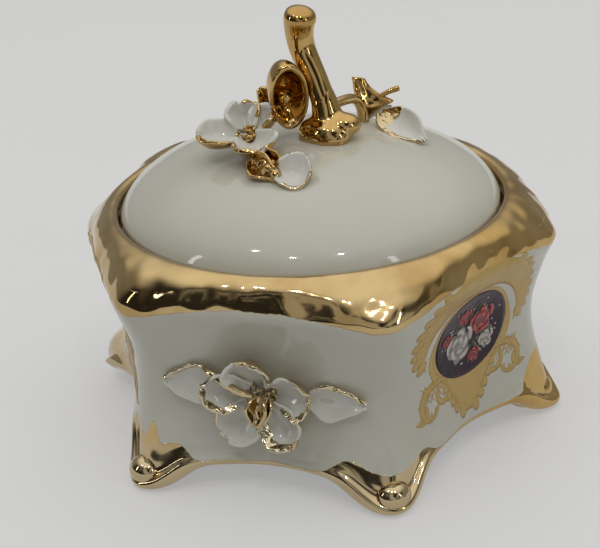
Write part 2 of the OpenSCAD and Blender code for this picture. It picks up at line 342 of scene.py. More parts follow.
porcelain = painted("glazed_cream_porcelain", (cream, cream_shade), (gold_light, gold_dark), spread=1.2)
petal_clay = painted("glazed_petal_clay", (petal_white, petal_shade), (gold_pale, gold_grey), spread=1.8)
slot_finishes = {"porcelain": porcelain, "petal_porcelain": petal_clay, "gilding": gilding}
print("finishes:", [finish.name for finish in slot_finishes.values()])

# %% [markdown]
# The box stands on pale paper, as on a photographer's table. More light would whiten the paper and the box
# alike. Instead the camera and the mirrors see a share of plain white in the paper, and the rest of it
# takes the shadow of the box.

# %% Floor
floor_size = 6.0
paper_tones = (colour(0.60, 0.60, 0.60), colour(0.64, 0.64, 0.64))
paper_clouds_per_m = 3.0
paper_rough = 0.9
white_share = 0.32
floor = add(bpy.ops.mesh.primitive_plane_add, "floor", size=floor_size)
floor_paper, floor_place, floor_shader = new_finish("pale_paper")
paper_tone = floor_place.grain(paper_clouds_per_m).between(*paper_tones)
feed(floor_shader, Base_Color=paper_tone, Roughness=paper_rough)
ray = floor_place.node("ShaderNodeLightPath", {}, {}, "Is Camera Ray")
seen = ray.either(ray.beside("Is Glossy Ray")).either(ray.beside("Is Transmission Ray"))
white = floor_place.node("ShaderNodeEmission", {}, {"Color": colour(1, 1, 1), "Strength": 1.0})
paper = Wire(ray.tree, floor_shader.outputs["BSDF"])
both = floor_place.node("ShaderNodeMixShader", {}, {0: seen * white_share, 1: paper, 2: white})
plug(ray.tree.nodes["Material Output"].inputs["Surface"], both)
floor.data.materials.append(floor_paper)
print("floor", floor_size, "m wide")

# %% [markdown]
# The lamps are small soft panels: three high up in front, and a narrow strip at each side. Glaze and gold
# mirror their shapes, so large panels would wash out the gold, and these leave small bright spots.

# %% Lamps
lamp_aim = Vector((0, 0, 0.05))


def lamp(name, place, watts, width, height):
    """A soft panel of light that faces the middle of the box."""
    panel = add(bpy.ops.object.light_add, name, type="AREA", location=place)
    panel.data.shape = "RECTANGLE"
    panel.data.size = width
    panel.data.size_y = height
    panel.data.energy = watts
    panel.rotation_euler = (lamp_aim - Vector(place)).to_track_quat("-Z", "Y").to_euler()


lamp("ceiling_lamp_front", (0.0, -0.9, 1.5), watts=1.3, width=0.1, height=0.05)
lamp("ceiling_lamp_left", (-0.5, -0.6, 1.5), watts=0.9, width=0.05, height=0.05)
lamp("ceiling_lamp_right", (0.55, -0.7, 1.5), watts=0.9, width=0.06, height=0.04)
lamp("left_strip", (-1.1, -0.7, 0.55), watts=1.0, width=0.08, height=0.6)
lamp("right_strip", (1.2, -0.6, 0.6), watts=0.9, width=0.1, height=0.5)

# %% [markdown]
# Gold shows what stands round it. An even room would make it look flat, so the room is dim at the height of
# the table and bright overhead, with paler patches in front where shelves would stand: that gives the metal
# its dark and light bands.

# %% Room
ceiling_tilt = 0.25
ceiling_from = (0.5, 0.95)
near_from = 0.25
near_fade = 0.5
far_wall = 0.26
shelf_dark = 0.03
shelf_light = 0.42
shelf_scale = 2.6
shelf_range = (0.44, 0.6)
shelf_side = (-0.65, -0.1)
room_white = colour(1.0, 0.99, 0.96)
room_strength = 1.08
room = bpy.data.worlds.new("room")
bpy.context.scene.world = room
room.use_nodes = True
backdrop = room.node_tree.nodes["Background"]
look = Wire(room.node_tree).node("ShaderNodeTexCoord", {}, {}, "Generated")
depth = look.node("ShaderNodeSeparateXYZ", {}, {"Vector": look}, "Y")
ceiling = (depth.beside("Z") + depth * ceiling_tilt).step(*ceiling_from)
near_side = (near_from - depth).step(0.0, near_fade)
shelves = look.grain(shelf_scale, 2.0).step(*shelf_range) * depth.beside("X").step(*shelf_side)
wall_tone = far_wall * (1 - near_side) + near_side * (shelves * shelf_light + shelf_dark)
room_tone = wall_tone * (1 - ceiling) + ceiling
feed(backdrop, Color=room_tone.between(colour(0, 0, 0), room_white), Strength=room_strength)
print("room strength", room_strength)

# %% [markdown]
# A few helpers do what a modeller's hands do: select a piece, go into edit mode, apply a modifier, and put
# the finished piece into the frame, where it rides on its body and hides the solids it stands for.

# %% Hands
def pick(*pieces):
    """Select these pieces alone; the first is the active one."""
    bpy.ops.object.select_all(action="DESELECT")
    for piece in pieces:
        piece.select_set(True)
    bpy.context.view_layer.objects.active = pieces[0]


@contextmanager
def editing(piece):
    """Edit mode on one piece."""
    pick(piece)
    bpy.ops.object.mode_set(mode="EDIT")
    yield
    bpy.ops.object.mode_set(mode="OBJECT")


def finish_with(piece, kind, **settings):
    """Add a modifier and apply it."""
    modifier = piece.modifiers.new(kind.lower(), kind)
    for name, value in settings.items():
        setattr(modifier, name, value)
    bpy.context.view_layer.objects.active = piece
    bpy.ops.object.modifier_apply(modifier=modifier.name)


def smoothed(piece, levels):
    finish_with(piece, "SUBSURF", levels=levels, render_levels=levels)
    return piece


def settle(piece, body, slot, *nodes, scale=MM):
    """Bring a finished piece into metres, hang it on its body, and hide the solids it stands for."""
    pick(piece)
    piece.data.transform(Matrix.Scale(scale, 4))
    bpy.ops.object.shade_smooth()
    if not piece.data.materials:
        piece.data.materials.append(slot_finishes[slot])
    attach(piece, body)
    if nodes:
        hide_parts(*nodes)
    return piece


print("helpers ready")

# %% [markdown]
# The body, the lid, the stem and the trumpet are all rings that change on their way. Spin would give round
# shapes alone, so a circle is extruded again and again, and a rule puts each new ring where it belongs. The
# ends are closed and poked into triangles round a middle point, which keeps them smooth when subdivided.

# %% Rings upon rings
def tower(name, sides, rings, place, levels=2, closed=True):
    """Extrude a circle from ring to ring; place(ring, turn) says where each point of a ring goes."""
    piece = add(bpy.ops.mesh.primitive_circle_add, name, vertices=sides, radius=1)
    turns = [math.atan2(v.co.y, v.co.x) for v in piece.data.vertices]
    with editing(piece):
        for number, ring in enumerate(rings):
            if number:
                bpy.ops.mesh.extrude_edges_move()
            mesh = bmesh.from_edit_mesh(piece.data)
            mesh.verts.ensure_lookup_table()
            for k, turn in enumerate(turns):
                mesh.verts[number * sides + k].co = place(ring, turn)
        bmesh.update_edit_mesh(piece.data)
        bpy.ops.mesh.select_all(action="SELECT")
        if closed:
            bpy.ops.mesh.fill_holes(sides=0)
            mesh = bmesh.from_edit_mesh(piece.data)
            for face in mesh.faces:
                face.select_set(len(face.verts) > 4)
            bmesh.update_edit_mesh(piece.data)
            bpy.ops.mesh.poke()
        bpy.ops.mesh.select_all(action="SELECT")
        bpy.ops.mesh.normals_make_consistent(inside=False)
    return smoothed(piece, levels)


print("towers ready")

# %% [markdown]
# Seen from above, every ring of the body is a circle that is pulled out into six soft corners. A hexagon
# with bevelled corners would have flat sides. A formula for the pull keeps the middle of each side round
# and draws the corners out, and one number makes a corner softer or sharper.

# %% Pulled rings
def off_corner(turn):
    """Degrees from the nearest corner, with a sign."""
    return (math.degrees(turn) + side_deg / 2) % side_deg - side_deg / 2


def pull(turn, soft):
    """1 on a corner and 0 in the middle of a face; soft widens the corner."""
    away = abs(off_corner(turn)) / (side_deg / 2)
    full = math.hypot(1, soft)
    return ((full - math.hypot(away, soft)) / (full - soft)) ** 2


def ease(value, start, end):
    """A soft step from 0 at start to 1 at end."""
    share = max(0, min(1, (value - start) / (end - start)))
    return share * share * (3 - 2 * share)


def around(radius, turn, height):
    """A point at a radius, a turn and a height."""
    return Vector((radius * math.cos(turn), radius * math.sin(turn), height))


def pulled_ring(ring, turn):
    """A point of a ring: corner radius and height, face radius and height, softness, and where it dips."""
    corner_r, corner_h, face_r, face_h, soft, *dip = ring
    share = pull(turn, soft)
    fall = ease(abs(off_corner(turn)), *dip) if dip else share
    radius = face_r + (corner_r - face_r) * share
    return around(radius, turn, face_h + (corner_h - face_h) * fall)


def level(radius, height):
    """A round, level ring."""
    return (radius, height, radius, height, 1)


print("pull halfway along a side", round(pull(math.radians(side_deg / 4), soft=0.3), 2))

# %% [markdown]
# The body is one casting, and its pull changes with height: none at the round seat of the lid, much at the
# gilded edge, less at the waist, and most at the feet. A rolled lip runs along the arched hem. The rings
# run up the outside, over the rim and down the inside to the floor, so the walls are closed.

# %% Body
lip_r = flare_corner_r + 2.7
body_rings = [
    (64, hem_h + 0.5, hem_face_r - wall, hem_h + 0.5, 0.3),
    (lip_r - 9, 0.6, hem_face_r - 2, hem_h, 0.15, 14.5, 4.5),
    (lip_r - 3, 0.1, hem_face_r - 0.6, hem_h, 0.15, 14.5, 4.5),
    (lip_r - 0.3, 0.8, hem_face_r + 0.2, hem_h + 1, 0.15, 14.5, 4),
    (lip_r + 0.3, 2.2, hem_face_r + 0.4, hem_h + 2.2, 0.15, 13, 3),
    (lip_r - 0.8, 3.4, hem_face_r + 0.3, hem_h + 3.2, 0.15, 12, 2.5),
    (lip_r - 3.6, 4.4, hem_face_r, hem_h + 4.4, 0.14, 12, 2.5),
    (lip_r - 4.2, 7.4, hem_face_r - 0.2, hem_h + 6, 0.13, 13, 3),
    (lip_r - 6.2, 12.6, hem_face_r - 0.4, hem_h + 8, 0.12, 20, 2),
    (lip_r - 8.4, 18.6, hem_face_r - 0.6, 20, 0.18),
    (waist_corner_r + 0.9, 25, waist_face_r + 0.2, 26, 0.3),
    (waist_corner_r, 33, waist_face_r, 33, 0.34),
    (waist_corner_r + 1.1, 41, waist_face_r + 0.4, 41, 0.34),
    (waist_corner_r + 3.4, 48, waist_face_r + 1.9, 48, 0.28),
    (rim_corner_r - 1.6, rim_edge_h - 4, rim_face_r - 2.6, rim_edge_h - 3, 0.2),
    (rim_corner_r + 0.5, rim_edge_h, rim_face_r, rim_edge_h + 1.5, 0.08),
    (rim_corner_r + 0.4, rim_edge_h + 2, rim_face_r + 0.2, rim_edge_h + 3.5, 0.06),
    (rim_corner_r - 2, rim_edge_h + 5, rim_face_r - 0.8, rim_edge_h + 6.6, 0.08),
    (rim_corner_r - 6, rim_edge_h + 8.6, rim_face_r - 2.1, rim_edge_h + 9.8, 0.16),
    (collar_r + 5.6, collar_h - 0.8, collar_r + 4.4, collar_h - 0.6, 0.3),
    level(collar_r + 2.4, collar_h),
    level(collar_r + 0.8, collar_h - 0.5),
    level(collar_r, collar_h - 1.6),
    level(collar_r, ledge_h + 0.4),
    level(collar_r - 0.3, ledge_h),
    level(mouth_r + 0.6, ledge_h),
    level(mouth_r, ledge_h - 0.6),
    level(mouth_r, ledge_h - 4),
    (rim_corner_r - 9, rim_edge_h - 5, waist_face_r - wall + 2, rim_edge_h - 5, 0.4),
    (waist_corner_r - wall, 41, waist_face_r - wall, 41, 0.45),
    (waist_corner_r - wall - 0.5, 33, waist_face_r - wall, 33, 0.45),
    (waist_corner_r - wall, 22, waist_face_r - wall + 0.5, 22, 0.45),
    (waist_corner_r - wall + 0.5, floor_h + 3, waist_face_r - wall + 0.7, floor_h + 3, 0.4),
    (waist_corner_r - wall - 3, floor_h, waist_face_r - wall - 2.5, floor_h, 0.4),
]
body_sides = 108
body = tower("box_body_glazed", body_sides, body_rings, pulled_ring)
print("body faces", len(body.data.polygons))

# %% [markdown]
# The gold was brushed on after the glaze firing. Where it ends is a line on the surface, so each vertex
# keeps how many millimetres it lies inside the gold. The finish turns that number into a crisp brushed
# edge. Each foot was painted by eye, so each has peaks of its own, given as degrees from the corner, height
# and spread.

# %% Where the gold lies on the body
foot_strokes = {
    0: [(-4, 20, 4.5), (0, 21, 3), (7, 15, 5)],
    1: [(-7, 15, 5), (4, 17, 4)],
    2: [(2, 19, 4), (-8, 14, 5)],
    3: [(-4, 18, 6), (5, 19, 7), (14, 17, 9)],
    4: [(-7, 19, 6), (1.5, 20.5, 2.2), (7, 15, 4.6)],
    5: [(-9, 14.5, 4.6), (0, 10, 4), (10, 12.6, 4)],
}
band_h = 10.6
band_swing = 1.4
band_waves = 4
rim_gold_up = 4.4
corner_drop = 5.2
left_drop = 5
left_spread = 20
collar_gold_r = collar_r - 0.6
rim_skin_r = waist_face_r + 1
rim_skin_reach = 10
hem_skin_r = hem_face_r - wall / 2
hem_skin_reach = 9


def hump(away, spread):
    """1 in the middle, and softly down to 0 on both sides."""
    return math.exp(-((away / spread) ** 2))


def foot_gold_h(turn):
    """Height of the upper edge of the gold along the hem and over the feet."""
    offset = off_corner(turn)
    corner = round((math.degrees(turn) - offset) / side_deg) % corners
    height = band_h + band_swing * noise.noise(around(1, turn, 0) * band_waves)
    for middle, peak, spread in foot_strokes[corner]:
        height += max(peak - height, 0) * hump(offset - middle, spread)
    return height


def rim_gold_h(turn):
    """Height of the lower edge of the gold on the rim: lower at the corners, lowest at the left one."""
    off_left = math.degrees(turn) % 360 - 180
    height = rim_edge_h + rim_gold_up - corner_drop * pull(turn, soft=0.1)
    return height - left_drop * hump(off_left, left_spread)


def gild(piece, marks):
    """Store on each vertex how many millimetres it lies inside the gold."""
    layer = piece.data.attributes.new("gild_mm", "FLOAT", "POINT")
    layer.data.foreach_set("value", marks)


def body_gold(point):
    """Gold on the rim and on the feet, on the outer skin alone."""
    turn = math.atan2(point.y, point.x)
    radius = math.hypot(point.x, point.y)
    hem_r = hem_skin_r + hem_skin_reach * pull(turn, soft=0.3)
    rim_r = rim_skin_r + rim_skin_reach * pull(turn, soft=0.4)
    if point.z >= ledge_h:
        rim_r = collar_gold_r
    on_rim = min(point.z - rim_gold_h(turn), radius - rim_r)
    on_foot = min(foot_gold_h(turn) - point.z, radius - hem_r)
    return max(on_rim, on_foot)


gild(body, [body_gold(vertex.co) for vertex in body.data.vertices])
print("gilded vertices", sum(mark.value > 0 for mark in body.data.attributes["gild_mm"].data))

# %% [markdown]
# Clay keeps the marks of hands. Noise dents the rim all round, which breaks up what the gold mirrors, and
# single presses move the clay where fingers held it. Each press names a zone of the body, its middle and
# spread in degrees, and how far the clay goes out and up. The corner on the left has sagged the most.

# %% Marks of hands
dent_coarse_mm = 13
dent_fine_mm = 5
dent_fine_share = 0.5
dent_depth = 0.7
dent_up = 0.7
rim_from_h = (40, rim_edge_h)
rim_from_r = (collar_r + 2, collar_r + 9)
waist_from_h = (10, 20)
waist_to_h = (44, 56)
foot_to_h = (4, 20)
lip_to_h = (3, 8)
presses = [
    ("foot", 0, 12, -0.7, 0),
    ("foot", -50, 6, -1.2, 1),
    ("foot", -130, 7, -2, 0.5),
    ("foot", -156, 12, -3, 1),
    ("foot", 180, 14, 0.5, 0),
    ("lip", 180, 14, -9, 0),
    ("waist", 180, 14, -5, 0),
    ("rim", -164, 12, 0.3, -2),
    ("rim", 176, 12, -2.4, -2),
    ("rim", 148, 16, 2, 3),
]


def dents(spot):
    """Hollows and swellings left by hands, between about -1 and 1."""
    return noise.noise(spot / dent_coarse_mm) + dent_fine_share * noise.noise(spot / dent_fine_mm)


def pressed(spot):
    """How far a point moves where hands pressed the soft clay."""
    outward = Vector((spot.x, spot.y, 0)).normalized()
    turn = math.degrees(math.atan2(spot.y, spot.x))
    zones = {
        "rim": ease(spot.z, *rim_from_h) * ease(spot.xy.length, *rim_from_r),
        "waist": ease(spot.z, *waist_from_h) * (1 - ease(spot.z, *waist_to_h)),
        "foot": 1 - ease(spot.z, *foot_to_h),
        "lip": 1 - ease(spot.z, *lip_to_h),
    }
    move = (outward + Vector((0, 0, dent_up))) * (dents(spot) * dent_depth * zones["rim"])
    for zone, middle, spread, out_mm, up_mm in presses:
        away = (turn - middle + 180) % 360 - 180
        move += (outward * out_mm + Vector((0, 0, up_mm))) * (hump(away, spread) * zones[zone])
    return move


for vertex in body.data.vertices:
    vertex.co += pressed(vertex.co)
settle(body, "box", "porcelain", "box_body")
print("presses", len(presses))

# %% [markdown]
# Each foot is a rounded lip with a ball for a toe. They are pressed together while the clay is soft, so a
# remesh melts the two shapes into one skin, and a little smoothing rounds the crease between them. Two of
# the feet were set further in than the others.

# %% Feet
pad_at = 70
pad_sides = 32
pad_profile = [(4.2, 0), (5.4, 0.1), (6.2, 0.8), (6.2, 2.2), (5.4, 3.6)]
toe_r = 4.5
toe_at = 73.8
toe_h = 4.8
toe_stretch = (1.05, 1.16, 1)
set_back = {1: 3, 4: 9.5}
skin_voxel = 0.35
crease_rounds = 3


def turned(degrees, axis):
    return Matrix.Rotation(math.radians(degrees), 4, axis)


def joined(pieces):
    """Join pieces into the first one."""
    pick(*pieces)
    bpy.ops.object.join()
    return pieces[0]


def melted(piece, voxel, rounds):
    """Remesh overlapping lumps into one skin and smooth it."""
    finish_with(piece, "REMESH", mode="VOXEL", voxel_size=voxel)
    finish_with(piece, "SMOOTH", factor=0.5, iterations=rounds)
    return piece


def lump(spot, radius, stretch=(1, 1, 1)):
    """A pinch of clay."""
    ball = bpy.ops.mesh.primitive_ico_sphere_add
    piece = add(ball, "lump", subdivisions=3, radius=radius, location=spot, scale=stretch)
    bpy.ops.object.transform_apply()
    return piece


def pad_ring(ring, turn):
    radius, height = ring
    return Vector((pad_at + radius * math.cos(turn), radius * math.sin(turn), height))


for number in range(1, corners + 1):
    pad = tower(f"foot_{number}_gilded", pad_sides, pad_profile, pad_ring, levels=1)
    toe = lump((toe_at, 0, toe_h), toe_r, toe_stretch)
    foot = melted(joined([pad, toe]), skin_voxel, crease_rounds)
    foot.data.transform(Matrix.Translation((-set_back.get(number, 0), 0, 0)))
    foot.data.transform(turned(side_deg * (number - 1), "Z"))
    settle(foot, "box", "gilding", f"foot_{number}")
print("foot faces", len(foot.data.polygons))

# %% [markdown]
# The lid is a flattened dome with a locating ring below it. It is turned on a wheel, so plain round rings
# make it: from the crown down to the edge, round under it, and back up inside.

# %% Lid
dome_rise = 19.5
dome_fullness = 2.4
dome_shoulder = 0.6
lid_wall = 4
ring_depth = 6
lid_edge_h = dome_top - dome_rise
lid_bottom = ledge_h + 0.15
ring_out = mouth_r - seat_gap
ring_in = ring_out - 3.4
lid_sides = 96
bare_mm = -9


def dome_h(radius):
    """Height of the outside of the dome at a distance from its middle."""
    return lid_edge_h + dome_rise * (1 - min(radius / lid_r, 1) ** dome_fullness) ** dome_shoulder


def on_dome(x, y, lift):
    """A point so far above the dome."""
    return Vector((x, y, dome_h(math.hypot(x, y)) + lift))


def lid_ring(ring, turn):
    radius, height = ring
    return around(radius, turn, height)


dome_steps = 16
outside = [math.sin(math.pi / 2 * i / dome_steps) * lid_r for i in range(1, dome_steps)]
inside = [ring_in * i / dome_steps for i in range(dome_steps - 1, 0, -2)]
lid_rings = [(r, dome_h(r)) for r in outside]
lid_rings += [
    (lid_r - 0.1, lid_edge_h + 1),
    (lid_r, lid_edge_h - 0.6),
    (lid_r - 0.2, lid_bottom + 0.7),
    (lid_r - 1, lid_bottom),
    (ring_out + 0.5, lid_bottom),
    (ring_out, lid_bottom - 0.5),
    (ring_out, lid_bottom - ring_depth + 0.5),
    (ring_out - 0.6, lid_bottom - ring_depth),
    (ring_in + 0.6, lid_bottom - ring_depth),
    (ring_in, lid_bottom - ring_depth + 0.5),
    (ring_in, lid_bottom),
]
lid_rings += [(r, dome_h(r) - lid_wall) for r in inside]
lid = tower("lid_dome_glazed", lid_sides, lid_rings, lid_ring, levels=1)
gild(lid, [bare_mm] * len(lid.data.vertices))
settle(lid, "lid", "porcelain", "lid_dome")
print("lid faces", len(lid.data.polygons))

# %% [markdown]
# Petals and leaves are thin blades of clay. A grid is bent to the outline and cupped like a spoon, its
# border waves a little, a thickness is added, and the surface is subdivided. Each vertex keeps its distance
# from the border, because the border is gilded; the back of the blade is gilded all over.

# %% Blades of clay
blade_t = 1.1
blade_cells = (14, 12)
petal_broadest = 0.6
petal_foot = 0.4
petal_tip = 1.02
leaf_foot = 0.1
leaf_skew = 0.85
leaf_blunt = 0.9
leaf_taper = 0.1
bare_foot_mm = 4
bare_foot_share = 0.35
spoon_root = 0.6
spoon_power = 2.5
phase_range = (0, 6)
edging_waves = 7
ruffle_waves = (9, 4)
nick_waves = 9
notch_waves = 13
rough_mm = (-0.3, 0.8)
rough_per_mm = 0.7


def petal_half(u):
    if u < petal_broadest:
        return petal_foot + (1 - petal_foot) * math.sin(math.pi / 2 * u / petal_broadest)
    return math.sqrt(petal_tip - ((u - petal_broadest) / (1 - petal_broadest)) ** 2)


def leaf_half(u):
    swell = max(math.sin(math.pi * u**leaf_skew), 0) ** leaf_blunt
    return leaf_foot + (1 - leaf_foot) * swell * (1 - leaf_taper * u)


halves = {"petal": petal_half, "leaf": leaf_half}


def grid(name, columns, rows):
    """A flat grid from -1 to 1 both ways."""
    return add(bpy.ops.mesh.primitive_grid_add, name, x_subdivisions=columns, y_subdivisions=rows, size=2)


def blade(name, form, size, curve, rim=(0.4, 0.0), base=0.0, wave=0.4, thick=blade_t, seed=0):
    """A cupped blade: x along it, y across it, z off what it lies on.

    size is its length and width; curve is how far the sides cup, the tip curls and the bowl sinks; rim is
    the width of the gilded border and how much wider it is on the left; base is the gilded length at its
    root; wave is how uneven the border is.
    """
    length, width = size
    cup, curl, bowl = curve
    piece = grid(name, *blade_cells)
    piece.data.materials.append(petal_clay)
    piece.data.materials.append(gilding)
    phase = random.Random(seed).uniform(*phase_range)
    marks = []
    for vertex in piece.data.vertices:
        u = (vertex.co.x + 1) / 2
        v = vertex.co.y
        half = halves[form](u) * width / 2
        border = min((1 - abs(v)) * half, (1 - u) * length)
        edging = rim[0] + rim[1] * v + wave * math.sin(edging_waves * u + phase) - border
        edging -= bare_foot_mm * (1 - ease(u, 0, bare_foot_share))
        marks.append(max(edging, base - u * length))
        end = max(2 * u - 1, spoon_root - 2 * spoon_root * u)
        reach = min(1, (abs(v) ** spoon_power + end**spoon_power) ** (1 / spoon_power))
        ruffle = math.sin(ruffle_waves[0] * u + ruffle_waves[1] * v + phase)
        height = cup * v * v * 2 * half / width + curl * u * u + bowl * (reach * reach - 1)
        height += wave * ruffle * max(abs(v), u) ** 3
        nick = wave * math.sin(nick_waves * v + phase) * u**4
        notch = wave * math.sin(notch_waves * u + phase) * v**3
        vertex.co = (length * u + nick, half * v + notch, height)
    gild(piece, marks)
    finish_with(piece, "SOLIDIFY", thickness=thick, offset=-1, material_offset=1, material_offset_rim=0)
    smoothed(piece, levels=2)
    for vertex, mark in zip(piece.data.vertices, piece.data.attributes["gild_mm"].data):
        rough = wave * ease(mark.value, *rough_mm)
        vertex.co += noise.noise_vector(vertex.co * rough_per_mm + Vector((seed, 0, 0))) * rough
    return piece


print("blade forms:", sorted(halves))

# %% [markdown]
# Blades are modelled lying flat, and then laid from one point towards another. Stems and twigs are rolls
# of clay. A curve with a bevel would do for them too, but a ring that is carried along a path, with a
# radius at each point, is a mesh from the start. Crushed clay gets its folds from turbulence, which pushes
# the skin in and out.

# %% Places, tubes and crushed clay
def aim(start, end, facing):
    """A turn and a move that lay x from start towards end, with z facing the given way."""
    x = (end - start).normalized()
    y = Vector(facing).cross(x).normalized()
    z = x.cross(y)
    return Matrix.Translation(start) @ Matrix((x, y, z)).transposed().to_4x4()


def settle_blade(piece, where, body, node):
    piece.data.transform(where)
    settle(piece, body, "petal_porcelain", node)


tube_side = Vector((0, 1, 0.3))


def tube(name, path, radii, sides=16, levels=2):
    """A tube along a path, with a radius at each of its points."""
    rings = []
    for i, middle in enumerate(path):
        heading = (path[min(i + 1, len(path) - 1)] - path[max(i - 1, 0)]).normalized()
        x = tube_side.cross(heading).normalized()
        rings.append((middle, x * radii[i], heading.cross(x) * radii[i]))

    def place(ring, turn):
        return ring[0] + ring[1] * math.cos(turn) + ring[2] * math.sin(turn)

    return tower(name, sides, rings, place, levels)


def crumpled(piece, depth, grain_mm):
    """Push the skin in and out as if it had been crushed between fingers."""
    for vertex in piece.data.vertices:
        vertex.co += noise.turbulence_vector(vertex.co / grain_mm, 2, True) * depth
    return piece


print("tubes ready")

# %% [markdown]
# The heart of a flower is a heap of gilded crumbs. A particle system could strew them, but a few dozen
# lumps are quicker to place by chance and join, and turbulence roughens them all at once. Two more helpers
# here stand a drawing up on a face and splay a petal.

# %% Crumbs and gold
crumb_sizes = (0.6, 1.3)
crumb_rough = 0.5
crumb_grain = 1.6


def upright(degrees):
    """A turn that stands a drawing on a face: x to the right, y up, z out of the face."""
    return turned(degrees + 90, "Z") @ turned(90, "X")


def splayed(direction, tilt, out, lift):
    """The place of a petal that leaves the heart of its flower in a direction and tilts up."""
    return turned(direction, "Z") @ Matrix.Translation((out, 0, lift)) @ turned(-tilt, "Y")


def crumbs(name, count, spread, size, seed):
    """A heap of small rough crumbs of clay."""
    draw = random.Random(seed)
    heap = []
    for _ in range(count):
        away = spread * math.sqrt(draw.random())
        turn = draw.uniform(0, 2 * math.pi)
        spot = Vector((away * math.cos(turn), away * math.sin(turn), draw.uniform(0, 1) * (spread - away)))
        heap.append(lump(spot, size * draw.uniform(*crumb_sizes)))
    heap[0].name = name
    return crumpled(joined(heap), size * crumb_rough, size * crumb_grain)


def all_gold(piece):
    """Gild a whole piece."""
    piece.data.materials.clear()
    piece.data.materials.append(gilding)
    return piece


def points(*spots):
    return [Vector(spot) for spot in spots]


print("crumbs ready")

# %% [markdown]
# A flower of five petals and two leaves sits on every second face. The petals were pressed on one by one,
# so each has its own direction and tilt. All three flowers follow the same pattern, and those at the back
# are pressed a little deeper into the face. Gilded crumbs, rolls of clay and a rope hide the joints.

# %% Flowers on the faces
face_turns = {"front": -90, "rear_right": 30, "rear_left": 150}
face_sunk = {"front": 0, "rear_right": 1.5, "rear_left": 0.8}
petal_dirs = [14, 103, 163, 232, 307]
petal_tilts = [26, 36, 28, 16, 24]
petal_rims = [(0.9, -0.9), (0.9, -1.7), (0.5, 1.2), (-0.4, -0.8), (1.3, -1.4)]
petal_size = (13.4, 12.8)
petal_curve = (2.0, -0.8, 3.4)
petal_start = 3.2
petal_lift = 2.4
leaf_curve = (1.0, -1, 1.6)
outwards = (0, 0, 1)
left_size = (16.8, 12.8)
left_rim = (0.1, -1.2)
left_ends = points((-11, 2.8, 2.4), (-27.4, 3, 3.8))
right_size = (17.4, 11)
right_rim = (0.1, 1.0)
right_ends = points((12.5, -0.5, 2), (29, 0.4, 3.8))
rope_path = points((-15.8, 8.6, 3.6), (-12.8, 8.2, 5.4), (-9, 6, 6.4), (-5.2, 3.4, 6.2), (-1.6, 1.2, 4.6))
rope_radii = [0.8, 1.25, 1.3, 1.25, 0.9]
roll_paths = [
    (points((0.4, 1.6, 4.6), (-0.6, -6.6, 6.6)), (9.0, 5.2)),
    (points((2.8, 1.0, 4.2), (1.0, -6.0, 6.2)), (7.6, 3.4)),
]
roll_cup_share = 0.5
roll_curl = 0.4
roll_bowl = 0.2
roll_seed = 13

for face, degrees in face_turns.items():
    where = upright(degrees) @ Matrix.Translation((0, flower_h, waist_face_r - face_sunk[face]))
    for number, (direction, tilt, rim) in enumerate(zip(petal_dirs, petal_tilts, petal_rims), 1):
        node = f"{face}_petal_{number}"
        petal = blade(node + "_glazed", "petal", petal_size, petal_curve, rim, seed=number)
        lean = splayed(direction, tilt, petal_start, petal_lift)
        settle_blade(petal, where @ lean, "box", node)
    left = blade(f"{face}_leaf_left_glazed", "leaf", left_size, leaf_curve, left_rim, seed=11)
    left.data.transform(aim(*left_ends, outwards))
    rope = tube("rope", rope_path, rope_radii, sides=10)
    rope = all_gold(crumpled(rope, depth=0.35, grain_mm=1.6))
    settle_blade(joined([left, rope]), where, "box", f"{face}_leaf_left")
    other = blade(f"{face}_leaf_right_glazed", "leaf", right_size, leaf_curve, right_rim, seed=12)
    settle_blade(other, where @ aim(*right_ends, outwards), "box", f"{face}_leaf_right")
    heap = crumbs(f"{face}_stamens_gilded", count=30, spread=4.2, size=0.75, seed=3)
    rolls = []
    for number, (ends, size) in enumerate(roll_paths):
        roll_curve = (size[1] * roll_cup_share, roll_curl, roll_bowl)
        roll = blade("roll", "leaf", size, roll_curve, wave=0.15, seed=roll_seed + number)
        roll.data.transform(aim(*ends, facing=(0, 0.15, 1)))
        rolls.append(all_gold(roll))
    heap = all_gold(joined([heap, *rolls]))
    heap.data.transform(where)
    settle(heap, "box", "gilding", f"{face}_stamens")
print("petal faces", len(petal.data.polygons))

# %% [markdown]
# The handle is a bent stem of clay with a blunt top, gilded all over. It is a tube with a girth at each
# point of its path. Its root spreads over the crown of the lid: a sleeve and a few lumps are melted into
# one skin, because a seam between them would catch the light.

# %% Stem and root of the handle
stem_h = stem_top_h - dome_top
stem_r = 4.05
stem_top = Vector((-1, 5.2, stem_top_h - 0.4))
stem_path = [
    on_dome(6.8, 1.4, -1.5),
    on_dome(6.4, 1.5, 5.5),
    Vector((5.5, 2.2, dome_top + stem_h * 0.27)),
    Vector((3.3, 4, dome_top + stem_h * 0.4)),
    Vector((0.6, 6, dome_top + stem_h * 0.53)),
    Vector((-1.6, 7.3, dome_top + stem_h * 0.64)),
    Vector((-2.5, 7.4, dome_top + stem_h * 0.76)),
    Vector((-2, 6.6, dome_top + stem_h * 0.88)),
    stem_top - Vector((0.2, -0.3, 2.4)),
    stem_top - Vector((-0.2, 0, 0.9)),
    stem_top - Vector((-0.4, 0.2, 0.1)),
]
stem_girth = [1.35, 1.12, 0.94, 0.93, 0.97, 1, 1.06, 1.2, 1.26, 1.06, 0.56]
stem = tube("handle_stem_gilded", stem_path, [stem_r * girth for girth in stem_girth])
settle(stem, "lid", "gilding", "handle_stem")

